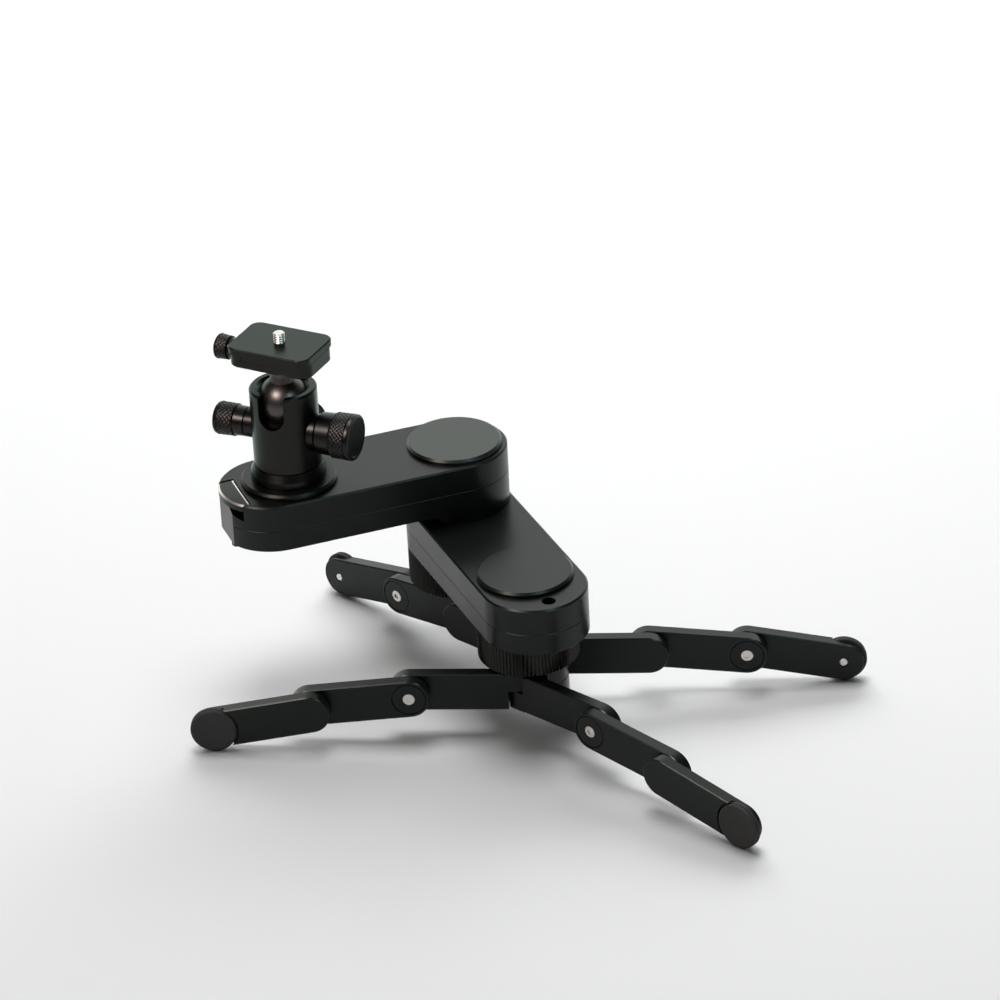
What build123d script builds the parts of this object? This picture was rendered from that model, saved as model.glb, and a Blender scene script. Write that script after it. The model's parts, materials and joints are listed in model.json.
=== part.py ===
"""Folding-arm camera slider on four jointed legs, with a ball head.

Millimetres, +Z up. The model is built about the hub's turning axis, with the
surface that the feet stand on at z = 0, and is moved at the end so that the
origin is the middle of the bottom of its bounding box.
"""
from build123d import *
from math import asin, cos, pi, radians, sin, sqrt
import os

# ---------------------------------------------------------------- driving dimensions
ARM_LENGTH = 95.0            # pivot to pivot, the same in both arms
ARM_HALF_WIDTH = 28.9
LOWER_TIP = 12.0             # how far each arm's free end runs on past its pivot
UPPER_TIP = 10.2
ARM_HEIGHT = 27.0
ARM_GAP = 7.1                # between the two arms
ARM_SEAM = 12.0              # height of the seam between tray and roof above the arm's floor
WALL = 2.6
SKIN = 3.0                   # floor and roof of an arm
LOWER_ARM_AZIMUTH = 111.4    # stored position of the arms, degrees from +X
UPPER_ARM_AZIMUTH = 198.9
HUB_AZIMUTH = -19.7          # the line that the hub's two leg hinges face across

LINK_HEIGHT = 22.0
LINK_THICKNESS = 7.0
LINK_PITCH = 7.5             # from one link's middle plane to the next one's
LINK_LENGTHS = (58.6, 53.6, 53.2)
LINK_DROPS = (0.3, 5.7, 10.4)        # slope of each link below level, degrees
FOOT_RADIUS = 12.7
LEG_OPENINGS = (14.0, 22.5, 24.0, 15.6)      # each leg's swing out from the hub's own line, degrees

HINGE_OFFSET = 18.9          # leg hinge pins, out from the hub's axis
HUB_RADIUS = 21.2
HUB_HALF_DEPTH = 14.9
HUB_PLATE_RADIUS = 24.0
PIN_RADIUS = 1.6
PIN_HEAD = 3.0
TRIPOD_THREAD = 9.525 / 2
TRIPOD_DEPTH = 10.0
TRIPOD_PAD = 13.0

RING_RADIUS = 27.5
KNOB_RADIUS = 28.8
DISC_RADIUS = 26.1
DISC_HEIGHT = 2.8
HEAD_AZIMUTH = -23.3         # line of the ball head's two side knobs, degrees from +X
CLAMP_AZIMUTH = -28.0        # line across the quick-release clamp's two jaws
GRIP_RIBS = 84

GAP = 0.3                    # between pieces that move past each other
RUN = 0.05                   # radial clearance of a shaft in its bearing

# ---------------------------------------------------------------- heights
HIP_Z = FOOT_RADIUS + sum(l * sin(radians(d)) for l, d in zip(LINK_LENGTHS, LINK_DROPS))
LINK_TOP = HIP_Z + LINK_HEIGHT / 2
LINK_BOTTOM = HIP_Z - LINK_HEIGHT / 2
HUB_TOP = 40.2
HUB_FOOT = HIP_Z + 4.0
TRIPOD_Z = LINK_BOTTOM - 1.6
RING_Z = HUB_TOP + GAP
LOWER_Z = 61.4
RING_TOP = LOWER_Z - GAP
LOWER_SEAM = LOWER_Z + ARM_SEAM
LOWER_TOP = LOWER_Z + ARM_HEIGHT
UPPER_Z = LOWER_TOP + ARM_GAP
UPPER_SEAM = UPPER_Z + ARM_SEAM
UPPER_TOP = UPPER_Z + ARM_HEIGHT
DISC_Z = UPPER_TOP + GAP
HEAD_Z = DISC_Z + DISC_HEIGHT
HOUSING_Z = HEAD_Z + 8.4 + GAP
HOUSING_TOP = 179.5
BALL_Z = 171.0
LOCK_Z = 154.1
PAN_LOCK_Z = 144.5
CUP_Z = 148.0
CUP_RIM = 161.5
CLAMP_Z = 193.5
CLAMP_FLOOR = CLAMP_Z + 4.5
CLAMP_SCREW_Z = CLAMP_Z + 2.9
JAW_TOP = CLAMP_Z + 8.3
PLATE_TOP = 206.0
BELT_LOW_Z = 72.0            # bottom of the lower arm's belt
BELT_HIGH_Z = 106.5          # bottom of the upper arm's belt

# ---------------------------------------------------------------- shafts and belts
HUB_SHAFT = 10.0
ELBOW_TUBE = 10.0
ELBOW_BORE = 5.6
ELBOW_SHAFT = 4.0
HEAD_SHAFT = 8.0
BIG_PULLEY = 22.0
SMALL_PULLEY = 11.0
BELT = 1.4
BELT_WIDTH = 7.0
SEAT = 15.0                  # bore that a large bearing sits in

# ---------------------------------------------------------------- ball head and clamp
BASE_RADIUS = 20.4
BASE_BEVEL = (4.0, 2.0)      # down the side and in across the top
HOUSING_RADIUS = 18.3
CUP_RADIUS = 14.2
STEM_RADIUS = 3.0            # threaded stem of each knob
LOCK_BOSS = (10.0, 20.0)     # radius of each knob's seat, and its face from the head's axis
FRICTION_BOSS = (8.2, 21.6)
BALL_RADIUS = 14.0
NECK_RADIUS = 6.2
WAIST_RADIUS = 7.0           # where the tapered neck meets the ball
NOTCH_WIDTH = 14.8
NOTCH_BOTTOM = 161.0
CLAMP_WIDTH = 49.0
CLAMP_DEPTH = 30.0
CLAMP_CORNER = 6.0
DOVE_LOW = 16.6              # half width of the dovetail rail, at its foot and at its waist
DOVE_HIGH = 14.6
PLATE_OVERHANG = 2.0
CAMERA_THREAD = 6.35 / 2
CAMERA_SCREW_NECK = 2.4
CAMERA_SCREW_REACH = 5.5     # thread above the plate
CLAMP_SCREW = 1.25
JAW_TRAVEL = 1.2

# ---------------------------------------------------------------- transport lock
LOCK_REACH = 32.0            # lock pin, out from the head's axis along the arm
LOCK_PIN = 2.95
LOCK_HOLE = 3.8
LOCK_BOSS_RADIUS = 6.2
LOCK_PIN_BOTTOM = LOWER_TOP + 0.4
SPRING_ROOM = 4.0            # bore round the lock pin's spring
SPRING_TOP = UPPER_SEAM + 1.5
SPRING_WIRE = 0.4
SPRING_RADIUS = 3.5
LEVER_X = 28.0
LEVER_Y = (-12.4, 18.1)
LEVER_THICKNESS = 4.0
LEVER_END_GAP = 0.4
LEVER_BARREL = 1.9
FLAP_BOTTOM = UPPER_TOP - LEVER_THICKNESS
LEVER_AXIS = (-10.5, UPPER_TOP - 2.0)        # y and z of its hinge, in the arm
SCOOP = (4.0, 5.6)           # finger notch under the lever: where it starts, and its depth
TIP_FLAT_X = 36.8            # flat end face of the arm below the lever

# ---------------------------------------------------------------- leg fittings
BOLT = 2.5
BOLT_HEAD = 3.2
HEX_SOCKET = (1.6, 0.5)      # radius and depth
CAP_RADIUS = 8.8
CAP_GROOVE = 0.5
CAP_DEPTH = 2.2
TONGUE_CUT = 5.6             # where a leg's full height starts, out from its hip pin
TONGUE_REACH = 5.1           # its half-height tongue past the pin, on the outer side
FOOT_GAP = 0.9
FOOT_SCREW = (1.5, 2.5)      # radius of its shank and of its head

ELBOW = (ARM_LENGTH * cos(radians(LOWER_ARM_AZIMUTH)),
         ARM_LENGTH * sin(radians(LOWER_ARM_AZIMUTH)))
HEAD = (ELBOW[0] + ARM_LENGTH * cos(radians(UPPER_ARM_AZIMUTH)),
        ELBOW[1] + ARM_LENGTH * sin(radians(UPPER_ARM_AZIMUTH)))

PLACE_LOWER = Rot(0, 0, LOWER_ARM_AZIMUTH)
PLACE_UPPER = Pos(ELBOW[0], ELBOW[1], 0) * Rot(0, 0, UPPER_ARM_AZIMUTH)
PLACE_HEAD = Pos(HEAD[0], HEAD[1], 0) * Rot(0, 0, HEAD_AZIMUTH)
PLACE_CLAMP = Pos(HEAD[0], HEAD[1], 0) * Rot(0, 0, CLAMP_AZIMUTH)

# Each leg: hinge side of the hub (+1 far, -1 near), end (+1 right, -1 left)
LEGS = {
    "front_left": (-1, -1, LEG_OPENINGS[0]),
    "front_right": (-1, 1, LEG_OPENINGS[1]),
    "rear_left": (1, -1, LEG_OPENINGS[2]),
    "rear_right": (1, 1, LEG_OPENINGS[3]),
}


# ---------------------------------------------------------------- helpers
def rod(radius, z0, z1, x=0.0, y=0.0):
    """Upright cylinder from z0 to z1."""
    return Pos(x, y, z0) * Cylinder(radius, z1 - z0, align=(Align.CENTER, Align.CENTER, Align.MIN))


def ring(outer, inner, z0, z1, x=0.0, y=0.0):
    """Upright tube from z0 to z1."""
    return rod(outer, z0, z1, x, y) - rod(inner, z0 - 1, z1 + 1, x, y)


def slab(x0, x1, y0, y1, z0, z1):
    """Box between two corners."""
    return Pos(x0, y0, z0) * Box(x1 - x0, y1 - y0, z1 - z0, align=(Align.MIN, Align.MIN, Align.MIN))


def side_rod(radius, x0, x1, z, y=0.0):
    """Cylinder along X."""
    turned = Rot(0, 90, 0) * Cylinder(radius, x1 - x0, align=(Align.CENTER, Align.CENTER, Align.MIN))
    return Pos(x0, y, z) * turned


def cross_rod(radius, y0, y1, x, z):
    """Cylinder along Y."""
    turned = Rot(-90, 0, 0) * Cylinder(radius, y1 - y0, align=(Align.CENTER, Align.CENTER, Align.MIN))
    return Pos(x, y0, z) * turned


def slot_slab(x0, x1, half_width, z0, z1):
    """Round-ended slab whose end circles are centred at x0 and x1."""
    length = x1 - x0 + 2 * half_width
    outline = Pos((x0 + x1) / 2, 0, z0) * SlotOverall(length, 2 * half_width)
    return extrude(outline, z1 - z0)


def cap_disc(z0, height, bevel=1.2):
    """Disc with a bevelled upper rim."""
    disc = rod(DISC_RADIUS, z0, z0 + height)
    return chamfer(disc.edges().group_by(Axis.Z)[-1], bevel)


def gripped(radius, z0, z1, depth, ribs):
    """Round grip with upright V-shaped ribs and bevelled ends."""
    points = []
    for i in range(2 * ribs):
        r = radius if i % 2 == 0 else radius - depth
        angle = pi * i / ribs
        points.append((r * cos(angle), r * sin(angle)))
    star = extrude(Pos(0, 0, z0) * make_face(Polyline(*points, close=True)), z1 - z0)
    bevel = 0.8
    envelope = rod(radius + 0.1, z0, z1)
    envelope = chamfer(envelope.edges().filter_by(GeomType.CIRCLE), bevel)
    return star & envelope


# ---------------------------------------------------------------- hub and lock ring
def hub_frame(shape):
    return Rot(0, 0, HUB_AZIMUTH) * shape


def hub_block():
    """Block between the leg hinges, with a plate over them that holds their pins."""
    block = rod(HUB_RADIUS, LINK_BOTTOM, LINK_TOP + GAP)
    block &= slab(-HUB_RADIUS, HUB_RADIUS, -HUB_HALF_DEPTH, HUB_HALF_DEPTH, LINK_BOTTOM, HUB_TOP)
    block -= ring(HUB_RADIUS + 1, HUB_RADIUS - 0.6, HIP_Z - 0.3, HIP_Z + 0.3)
    block += rod(HUB_PLATE_RADIUS, LINK_TOP + GAP, HUB_TOP)
    block += rod(TRIPOD_PAD, TRIPOD_Z, LINK_BOTTOM)
    for side in (-1, 1):
        block -= rod(PIN_RADIUS, LINK_TOP, HUB_TOP + 1, 0, side * HINGE_OFFSET)
    block -= rod(HUB_SHAFT, HUB_FOOT, HUB_TOP + 1)
    block -= rod(TRIPOD_THREAD, TRIPOD_Z - 1, TRIPOD_Z + TRIPOD_DEPTH)
    return hub_frame(block)


def hub_hinge_pins():
    """The two upright pins that the legs swing on."""
    pins = []
    for side in (-1, 1):
        y = side * HINGE_OFFSET
        pins.append(hub_frame(rod(PIN_RADIUS, LINK_BOTTOM - 0.2, HUB_TOP, 0, y)
                              + rod(PIN_HEAD, LINK_BOTTOM - 1.4, LINK_BOTTOM - 0.2, 0, y)))
    return Compound(children=pins)


def pulley(radius, z0, bore=0.0, teeth=0):
    """Toothed belt pulley with a lip above and below the belt."""
    z1 = z0 + BELT_WIDTH
    points = []
    for i in range(2 * teeth):
        r = radius if i % 2 == 0 else radius - 0.6
        points.append((r * cos(pi * i / teeth), r * sin(pi * i / teeth)))
    body = extrude(Pos(0, 0, z0 - 0.3) * make_face(Polyline(*points, close=True)), BELT_WIDTH + 0.6)
    body += rod(radius + 1.2, z0 - 1.1, z0 - 0.3) + rod(radius + 1.2, z1 + 0.3, z1 + 1.1)
    if bore:
        body -= rod(bore, z0 - 2, z1 + 2)
    return body


def hub_spindle():
    """Fixed post that the lower arm turns on, with the fixed belt pulley."""
    post = rod(HUB_SHAFT, HUB_FOOT, LOWER_TOP - 3.4)
    post += pulley(BIG_PULLEY, BELT_LOW_Z, 0.0, 44)
    return hub_frame(post)


def lock_ring():
    """Ribbed ring that clamps the lower arm's swing."""
    grip = gripped(RING_RADIUS, RING_Z, RING_TOP, 0.7, GRIP_RIBS)
    return grip - rod(HUB_SHAFT + RUN, RING_Z - 1, RING_TOP + 1)


# ---------------------------------------------------------------- arms
def arm_half(x0, x1, z0, z1, roof):
    """Half of an arm's shell: a round-ended tray, open at the seam."""
    block = slot_slab(x0, x1, ARM_HALF_WIDTH, z0, z1)
    skin_edges = block.edges().group_by(Axis.Z)[-1 if roof else 0]
    block = chamfer(skin_edges, 0.9 if roof else 0.3)
    seam_edges = block.edges().group_by(Axis.Z)[0 if roof else -1]
    block = chamfer(seam_edges, 0.2)
    low = z0 - 1 if roof else z0 + SKIN
    high = z1 - SKIN if roof else z1 + 1
    return block - slot_slab(x0, x1, ARM_HALF_WIDTH - WALL, low, high)


def lower_arm_bottom():
    """Tray that carries the hub bearing and the fixed elbow shaft."""
    tray = arm_half(-LOWER_TIP, ARM_LENGTH, LOWER_Z, LOWER_SEAM, False)
    floor = LOWER_Z + SKIN
    tray += ring(SEAT + 2.5, SEAT, floor, floor + 5)
    tray -= rod(HUB_SHAFT + GAP, LOWER_Z - 1, floor + 1)
    tray -= rod(ELBOW_SHAFT, LOWER_Z - 1, floor + 1, ARM_LENGTH)
    return PLACE_LOWER * tray


def lower_arm_top():
    """Roof half, with the lock hole in its free end."""
    roof_z = LOWER_TOP - SKIN
    roof = arm_half(-LOWER_TIP, ARM_LENGTH, LOWER_SEAM, LOWER_TOP, True)
    for x in (0, ARM_LENGTH):
        roof += ring(SEAT + 2.5, SEAT, roof_z - 4.5, roof_z, x)
    roof -= rod(SEAT - 3, roof_z - 1, LOWER_TOP + 1)
    roof -= rod(ELBOW_TUBE + GAP, roof_z - 1, LOWER_TOP + 1, ARM_LENGTH)
    roof -= rod(LOCK_HOLE, roof_z - 1, LOWER_TOP + 1, -LOCK_REACH)
    return PLACE_LOWER * roof


def hub_cap():
    """Bevelled disc that closes the lower arm over the hub."""
    return cap_disc(LOWER_TOP, DISC_HEIGHT)


def lower_arm_bearings():
    """Hub bearings below and above the pulley, and the elbow bearing."""
    floor = LOWER_Z + SKIN
    roof_z = LOWER_TOP - SKIN
    rings = [ring(SEAT, HUB_SHAFT + RUN, floor, floor + 5),
             ring(SEAT, HUB_SHAFT + RUN, roof_z - 4.5, roof_z),
             ring(SEAT, ELBOW_TUBE + RUN, roof_z - 4.5, roof_z, ARM_LENGTH)]
    return Compound(children=[PLACE_LOWER * r for r in rings])


def belt(z0, big_x, small_x):
    """Closed belt round a large pulley and a small one."""
    big = BIG_PULLEY + 0.15
    small = SMALL_PULLEY + 0.15
    span = small_x - big_x
    side = 1 if span > 0 else -1
    lean = asin((big - small) / abs(span))

    def loop(extra):
        r1 = big + extra
        r2 = small + extra
        sn = sin(lean)
        cs = cos(lean)
        a = (big_x + side * r1 * sn, r1 * cs)
        b = (small_x + side * r2 * sn, r2 * cs)
        c = (b[0], -b[1])
        d = (a[0], -a[1])
        lines = Line(a, b) + ThreePointArc(b, (small_x + side * r2, 0), c)
        lines += Line(c, d) + ThreePointArc(d, (big_x - side * r1, 0), a)
        return make_face(lines)

    outline = Pos(0, 0, z0) * (loop(BELT) - loop(0.0))
    return extrude(outline, BELT_WIDTH)


def lower_belt():
    """Belt from the fixed hub pulley to the upper arm's elbow pulley."""
    return PLACE_LOWER * belt(BELT_LOW_Z, 0.0, ARM_LENGTH)


def elbow_shaft():
    """Post fixed in the lower arm, with the pulley that the upper arm's belt runs on."""
    post = rod(ELBOW_SHAFT, RING_Z + 3, BELT_HIGH_Z)
    post += rod(9.0, LOWER_Z + SKIN, LOWER_Z + SKIN + 2.5)
    post += rod(7.0, BELT_HIGH_Z - 3.0, BELT_HIGH_Z - 1.0)
    post += pulley(SMALL_PULLEY, BELT_HIGH_Z, 0.0, 22)
    return PLACE_LOWER * Pos(ARM_LENGTH, 0, 0) * post


def drag_knob():
    """Ribbed knob under the elbow that sets its drag."""
    knob = gripped(KNOB_RADIUS, RING_Z, RING_TOP, 0.7, GRIP_RIBS + 4)
    knob -= rod(ELBOW_SHAFT + RUN, RING_Z + 3, RING_TOP + 1)
    return PLACE_LOWER * Pos(ARM_LENGTH, 0, 0) * knob


def upper_arm_bottom():
    """Tray with the elbow's spacing collar, the tube's flange seat and a bearing seat."""
    floor = UPPER_Z + SKIN
    tray = arm_half(0, ARM_LENGTH + UPPER_TIP, UPPER_Z, UPPER_SEAM, False)
    tray += rod(ARM_HALF_WIDTH - 0.02, LOWER_TOP + GAP, UPPER_Z + 0.5)
    tray += ring(14.5, 12.0, floor, floor + 4, ARM_LENGTH)
    tray -= rod(ELBOW_TUBE, UPPER_Z - ARM_GAP, floor + 1)
    tray -= rod(12.0, UPPER_Z - ARM_GAP, UPPER_Z - 1)
    tray += rod(LOCK_BOSS_RADIUS, floor - 1, UPPER_SEAM, ARM_LENGTH + LOCK_REACH) & tip_room()
    tray -= tip_flat()
    tray -= rod(LOCK_PIN + RUN, UPPER_Z - 1, UPPER_SEAM + 1, ARM_LENGTH + LOCK_REACH)
    tray -= rod(SPRING_ROOM, UPPER_Z + 4, UPPER_SEAM + 1, ARM_LENGTH + LOCK_REACH)
    return PLACE_UPPER * tray


def tip_room():
    """The inside of the arm's free end, up to its wall."""
    return slot_slab(0, ARM_LENGTH + UPPER_TIP, ARM_HALF_WIDTH - WALL / 2, UPPER_Z, UPPER_TOP)


def tip_flat():
    """Cutter for the flat end face below the lever."""
    x = ARM_LENGTH + TIP_FLAT_X
    return slab(x, x + 10, -20, 20, UPPER_Z - 1, FLAP_BOTTOM - 0.2)


def lever_pocket():
    """Cutter for the lever and for the scooped finger notch under its free end."""
    x = ARM_LENGTH + LEVER_X
    y0 = LEVER_Y[0] - 0.25
    y1 = LEVER_Y[1] + LEVER_END_GAP
    pocket = slab(x, x + 20, y0, y1, FLAP_BOTTOM - 0.2, UPPER_TOP + 1)
    start, depth = SCOOP
    low = FLAP_BOTTOM - depth
    scoop = ThreePointArc((start, FLAP_BOTTOM), ((start + y1) / 2, FLAP_BOTTOM - 0.66 * depth), (y1, low))
    scoop += Line((y1, low), (y1, FLAP_BOTTOM)) + Line((y1, FLAP_BOTTOM), (start, FLAP_BOTTOM))
    return pocket + Pos(x + 0.8, 0, 0) * extrude(Plane.YZ * make_face(scoop), 20)


def upper_arm_top():
    """Roof half, cut away at its free end for the lock lever."""
    roof_z = UPPER_TOP - SKIN
    roof = arm_half(0, ARM_LENGTH + UPPER_TIP, UPPER_SEAM, UPPER_TOP, True)
    roof += ring(14.5, 12.0, roof_z - 4, roof_z, ARM_LENGTH)
    roof -= rod(HEAD_SHAFT + GAP, roof_z - 1, UPPER_TOP + 1, ARM_LENGTH)
    roof -= rod(SEAT - 3, roof_z - 1, UPPER_TOP + 1)
    x = ARM_LENGTH + LEVER_X
    inner = slot_slab(0, ARM_LENGTH + UPPER_TIP, ARM_HALF_WIDTH - WALL / 2, UPPER_SEAM, UPPER_TOP - 1)
    roof += slab(x - 1.5, x + 20, -18, 20, FLAP_BOTTOM - 8.0, UPPER_TOP - 1) & inner
    roof += rod(LOCK_BOSS_RADIUS, UPPER_SEAM, FLAP_BOTTOM, ARM_LENGTH + LOCK_REACH) & inner
    roof -= tip_flat()
    roof -= lever_pocket()
    roof -= rod(LOCK_PIN + RUN, UPPER_SEAM - 1, UPPER_TOP, ARM_LENGTH + LOCK_REACH)
    roof -= rod(SPRING_ROOM, UPPER_SEAM - 1, SPRING_TOP, ARM_LENGTH + LOCK_REACH)
    roof -= side_rod(1.0, x - 3.0, x + 0.5, LEVER_AXIS[1], LEVER_AXIS[0])
    return PLACE_UPPER * roof


def elbow_cap():
    """Bevelled disc that closes the upper arm over the elbow."""
    return PLACE_UPPER * cap_disc(UPPER_TOP, DISC_HEIGHT)


def elbow_spindle():
    """Tube fixed to the upper arm, with the pulley inside the lower arm."""
    tube = rod(ELBOW_TUBE, BELT_LOW_Z + BELT_WIDTH, UPPER_Z + SKIN)
    tube += rod(16.0, UPPER_Z + SKIN, UPPER_Z + SKIN + 2.0)
    tube += pulley(SMALL_PULLEY, BELT_LOW_Z, 0.0, 22)
    tube -= rod(ELBOW_BORE, BELT_LOW_Z - 3, UPPER_Z + SKIN + 3)
    return PLACE_UPPER * tube


def upper_arm_bearings():
    """Bush in the elbow tube, and the head's lower and upper bearings."""
    floor = UPPER_Z + SKIN
    roof_z = UPPER_TOP - SKIN
    rings = [ring(ELBOW_BORE, ELBOW_SHAFT + RUN, BELT_LOW_Z, UPPER_Z),
             ring(12.0, HEAD_SHAFT + RUN, floor, floor + 4, ARM_LENGTH),
             ring(12.0, HEAD_SHAFT + RUN, roof_z - 4, roof_z, ARM_LENGTH)]
    return Compound(children=[PLACE_UPPER * r for r in rings])


def upper_belt():
    """Belt from the fixed elbow pulley to the head's pulley."""
    return PLACE_UPPER * belt(BELT_HIGH_Z, ARM_LENGTH, 0.0)


# ---------------------------------------------------------------- transport lock
def lock_lever():
    """Flap that follows the arm's rounded end and lifts the lock pin."""
    x = ARM_LENGTH + LEVER_X
    end = slot_slab(0, ARM_LENGTH + UPPER_TIP, ARM_HALF_WIDTH, FLAP_BOTTOM, UPPER_TOP)
    end = chamfer(end.edges().group_by(Axis.Z)[-1], 0.9)
    y, z = LEVER_AXIS
    edge = x + GAP
    flap = end & slab(edge, x + 20, y, LEVER_Y[1], FLAP_BOTTOM, UPPER_TOP)
    bevel = Pos(edge, 0, UPPER_TOP) * Rot(0, 45, 0) * Box(0.9, 60, 0.9)
    flap -= bevel
    barrel = side_rod(LEVER_BARREL, edge, x + 8.0, z, y)
    flap += barrel & end
    flap -= side_rod(1.0 + RUN, x, x + 7.0, z, y)
    return PLACE_UPPER * flap


def lever_pin():
    """Hinge pin of the lock lever."""
    x = ARM_LENGTH + LEVER_X
    return PLACE_UPPER * side_rod(1.0, x - 3.0, x + 6.8, LEVER_AXIS[1], LEVER_AXIS[0])


def lock_pin():
    """Sprung pin that drops into the lower arm's hole when the arms are folded."""
    pin = rod(LOCK_PIN, LOCK_PIN_BOTTOM, FLAP_BOTTOM - GAP)
    pin = chamfer(pin.edges().group_by(Axis.Z)[0], 0.8)
    pin += rod(SPRING_ROOM - 0.15, UPPER_Z + 4.2, UPPER_Z + 5.4)
    return PLACE_UPPER * Pos(ARM_LENGTH + LOCK_REACH, 0, 0) * pin


def lock_spring():
    """Coil spring round the lock pin."""
    low = UPPER_Z + 5.4 + SPRING_WIRE / 2
    high = SPRING_TOP - SPRING_WIRE / 2
    path = Helix(pitch=(high - low) / 4, height=high - low, radius=SPRING_RADIUS)
    section = Plane(origin=path @ 0, z_dir=path % 0) * Circle(SPRING_WIRE / 2)
    coil = sweep(section, path=path, is_frenet=True)
    return PLACE_UPPER * Pos(ARM_LENGTH + LOCK_REACH, 0, low) * coil


# ---------------------------------------------------------------- platform and ball head
def platform_spindle():
    """Shaft of the turning platform, with its belt pulley."""
    shaft = rod(HEAD_SHAFT, UPPER_Z + SKIN + 0.5, DISC_Z)
    shaft += pulley(BIG_PULLEY, BELT_HIGH_Z, 0.0, 44)
    return PLACE_HEAD * shaft


def platform_disc():
    """Bevelled disc that the ball head stands on."""
    return PLACE_HEAD * cap_disc(DISC_Z, DISC_HEIGHT)


def head_base():
    """Foot of the ball head, bevelled up to the turning housing."""
    top = HOUSING_Z - GAP
    base = rod(BASE_RADIUS, HEAD_Z, top)
    base = chamfer(base.edges().group_by(Axis.Z)[-1], *BASE_BEVEL)
    return PLACE_HEAD * (base + rod(8.0, top, top + 6.0))


def head_housing():
    """Tube with the ball's socket, its drop notch and the three knob seats."""
    tube = rod(HOUSING_RADIUS, HOUSING_Z, HOUSING_TOP)
    tube = chamfer(tube.edges().group_by(Axis.Z)[0], 0.3)
    tube = chamfer(tube.edges().group_by(Axis.Z)[-1], 1.0)
    tube -= rod(8.0 + RUN, HOUSING_Z - 1, HOUSING_Z + 6.2)
    tube -= rod(CUP_RADIUS, CUP_Z, BALL_Z)
    tube -= Pos(0, 0, BALL_Z) * Sphere(BALL_RADIUS + 0.2)
    lip = sqrt(BALL_RADIUS ** 2 - (HOUSING_TOP - 2.6 - BALL_Z) ** 2)
    tube -= rod(lip, BALL_Z, HOUSING_TOP + 1)
    tube -= Pos(0, 0, HOUSING_TOP - 2.0) * Cone(lip, lip + 2.4, 2.4, align=(Align.CENTER, Align.CENTER, Align.MIN))
    centre = NOTCH_BOTTOM + NOTCH_WIDTH / 2
    tube -= cross_rod(NOTCH_WIDTH / 2, -30, -4, 0, centre)
    tube -= slab(-NOTCH_WIDTH / 2, NOTCH_WIDTH / 2, -30, -4, centre, HOUSING_TOP + 5)
    root = CUP_RADIUS + 2.0
    tube += side_rod(LOCK_BOSS[0], root, LOCK_BOSS[1], LOCK_Z) - rod(root, LOCK_Z - 12, LOCK_Z + 12)
    tube += side_rod(FRICTION_BOSS[0], -FRICTION_BOSS[1], -root, LOCK_Z) - rod(root, LOCK_Z - 12, LOCK_Z + 12)
    tube -= side_rod(STEM_RADIUS + RUN, CUP_RADIUS - 1, LOCK_BOSS[1] + 1, LOCK_Z)
    tube -= side_rod(STEM_RADIUS + RUN, -FRICTION_BOSS[1] - 1, -CUP_RADIUS + 1, LOCK_Z)
    tube -= cross_rod(STEM_RADIUS + RUN, 9.0, 20, 0, PAN_LOCK_Z)
    return PLACE_HEAD * tube


def ball_cup():
    """Seat below the ball that the lock knob squeezes."""
    cup = rod(CUP_RADIUS - 0.1, CUP_Z + 0.2, CUP_RIM)
    cup -= Pos(0, 0, BALL_Z) * Sphere(BALL_RADIUS + 0.15)
    for side in (-1, 1):
        end = side * CUP_RADIUS
        cup -= side_rod(STEM_RADIUS + 0.4, min(end, end - side * 3), max(end, end - side * 3), LOCK_Z)
    return PLACE_HEAD * cup


def knob(start, end, inner, outer):
    """Turned knob along +X: a smooth waist, a wide grip and a bevelled face."""
    profile = [(0, start), (inner, start), (inner, start + 1.2), (inner + 0.5, start + 1.8)]
    profile += [(outer - 0.5, start + 0.45 * (end - start)), (outer, start + 0.5 * (end - start))]
    profile += [(outer, end - 1.4), (outer - 1.4, end), (0, end)]
    outline = make_face(Polyline(*profile, close=True))
    turned = revolve(Plane.XZ * outline, Axis.Z, 360)
    return Rot(0, 90, 0) * turned


def lock_knob():
    """Large knob that clamps the ball."""
    start = LOCK_BOSS[1] + 0.4
    body = knob(start, 41.5, 10.9, 12.7)
    body += side_rod(STEM_RADIUS, CUP_RADIUS - 1.0, start + 0.5, 0)
    return PLACE_HEAD * Pos(0, 0, LOCK_Z) * body


def friction_knob():
    """Smaller knob opposite, which sets the ball's drag."""
    start = FRICTION_BOSS[1] + 0.4
    body = knob(start, 40.0, 8.4, 9.2)
    body += side_rod(STEM_RADIUS, CUP_RADIUS - 1.0, start + 0.5, 0)
    return PLACE_HEAD * Pos(0, 0, LOCK_Z) * Rot(0, 0, 180) * body


def pan_knob():
    """Small knob behind that clamps the housing on its base."""
    body = knob(19.0, 35.5, 6.4, 8.2)
    body += side_rod(STEM_RADIUS, 9.5, 19.5, 0)
    return PLACE_HEAD * Pos(0, 0, PAN_LOCK_Z) * Rot(0, 0, 90) * body


def ball_stem():
    """Ball with its tapered neck and the flange under the clamp."""
    ball = Pos(0, 0, BALL_Z) * Sphere(BALL_RADIUS)
    neck_z = BALL_Z + sqrt(BALL_RADIUS ** 2 - WAIST_RADIUS ** 2) - 0.5
    waist = Pos(0, 0, neck_z) * Cone(WAIST_RADIUS, NECK_RADIUS, 4.0, align=(Align.CENTER, Align.CENTER, Align.MIN))
    neck = rod(NECK_RADIUS, neck_z + 4.0, CLAMP_Z - 2.0) + rod(11.0, CLAMP_Z - 2.0, CLAMP_Z - 0.2)
    return PLACE_HEAD * (ball + waist + neck)


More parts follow.
